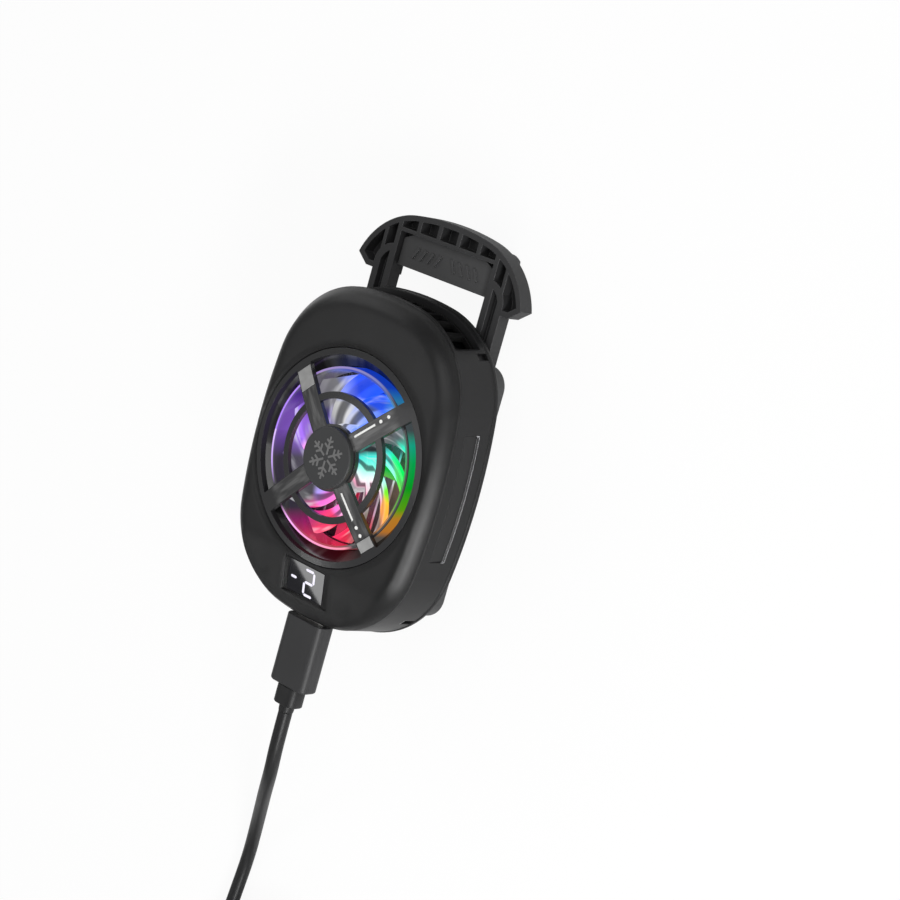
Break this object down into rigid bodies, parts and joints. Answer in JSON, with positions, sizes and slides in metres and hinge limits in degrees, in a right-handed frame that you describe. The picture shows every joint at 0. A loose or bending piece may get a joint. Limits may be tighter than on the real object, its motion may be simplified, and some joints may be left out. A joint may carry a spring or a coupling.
{
  "type": "phone cooling fan",
  "caption": "Clip-on phone cooler: oval housing with a domed guard over a lit fan, sloped display, sprung sliding jaw, cold plate and a corded plug.",
  "frame": {"origin": "under the middle of the object without its cord, on the surface that its two hook lips lie on", "axes": "+Z out of the front of the fan, +Y towards the sliding jaw, and the cord leaves towards -Y"},
  "size_m": [0.0629, 0.2842, 0.0364],
  "materials": {
    "shell_plastic": "satin black",
    "jaw_plastic": "matte dark grey",
    "guard_plastic": "satin dark grey",
    "cap_plastic": "fine-grained dark grey",
    "frame_plastic": "smoked",
    "blade_plastic": "frosted, lit from the ring",
    "light_plastic": "frosted, lit",
    "window": "dark tinted",
    "display": "dark, with lit digits",
    "board": "green lacquer",
    "rubber_pad": "matte",
    "silicone": "light grey, soft",
    "gasket_foam": "closed-cell foam",
    "aluminium": "as extruded",
    "ceramic": "matte white",
    "steel": "plain",
    "magnet": "dark sintered",
    "bronze": "sintered",
    "drum_plastic": "natural white",
    "plug_metal": "nickel plated",
    "cord_plastic": "satin dark grey",
    "plug_plastic": "satin black",
    "contact_plastic": "white",
    "tie_fabric": "black strap"
  },
  "bodies": {
    "housing": {"front_cover": "shell_plastic", "middle_frame": "shell_plastic", "side_panel_left": "shell_plastic", "side_panel_right": "shell_plastic", "exhaust_grille": "shell_plastic", "rear_cover": "shell_plastic", "housing_screws": "steel", "fan_frame": "frame_plastic", "shaft_bearing": "bronze", "motor_board": "board", "motor_stator": "bronze", "led_board": "board", "light_ring": "light_plastic", "fan_guard": "guard_plastic", "hub_cap": "cap_plastic", "display_window": "window", "display_module": "display", "control_board": "board", "usb_socket": "plug_metal", "silicone_pad": "silicone", "cold_plate": "aluminium", "peltier_module": "ceramic", "insulation_gasket": "gasket_foam", "heat_sink": "aluminium", "clamp_base": "shell_plastic", "base_screws": "steel", "lower_hook": "jaw_plastic", "lower_hook_pad": "rubber_pad", "plug_shell": "plug_metal", "plug_body": "plug_plastic", "plug_strain_relief": "plug_plastic", "power_cord": "cord_plastic", "cord_coil": "cord_plastic", "cord_tie": "tie_fabric", "usb_a_strain_relief": "plug_plastic", "usb_a_body": "plug_plastic", "usb_a_shell": "plug_metal", "usb_a_insulator": "contact_plastic"},
    "jaw": {"jaw_frame": "jaw_plastic", "grip_plate": "jaw_plastic", "jaw_hook": "jaw_plastic", "jaw_hook_pad": "rubber_pad", "spring_strip_left": "steel", "spring_strip_right": "steel"},
    "fan": {"impeller": "blade_plastic", "fan_shaft": "steel", "rotor_magnet": "magnet"},
    "drum_left": {"spring_drum_left": "drum_plastic"},
    "drum_right": {"spring_drum_right": "drum_plastic"}
  },
  "joints": [
    {"name": "jaw_slide", "type": "slide", "parent": "housing", "child": "jaw", "axis": [0, 1, 0], "range_m": [-0.01, 0.01], "stiffness_N_per_m": 400},
    {"name": "fan_spin", "type": "hinge", "parent": "housing", "child": "fan", "pos_m": [0, -0.00852, 0.0275], "axis": [0, 0, 1], "continuous": true},
    {"name": "drum_left_spin", "type": "hinge", "parent": "housing", "child": "drum_left", "pos_m": [-0.01, -0.02772, 0.0133], "axis": [0, 0, 1], "range_deg": [-160, 160]},
    {"name": "drum_right_spin", "type": "hinge", "parent": "housing", "child": "drum_right", "pos_m": [0.01, -0.02772, 0.0133], "axis": [0, 0, 1], "range_deg": [-160, 160]}
  ],
  "couplings": [
    {"joint": "drum_left_spin", "follows": "jaw_slide", "rad_per_m": -263.16},
    {"joint": "drum_right_spin", "follows": "jaw_slide", "rad_per_m": 263.16}
  ]
}
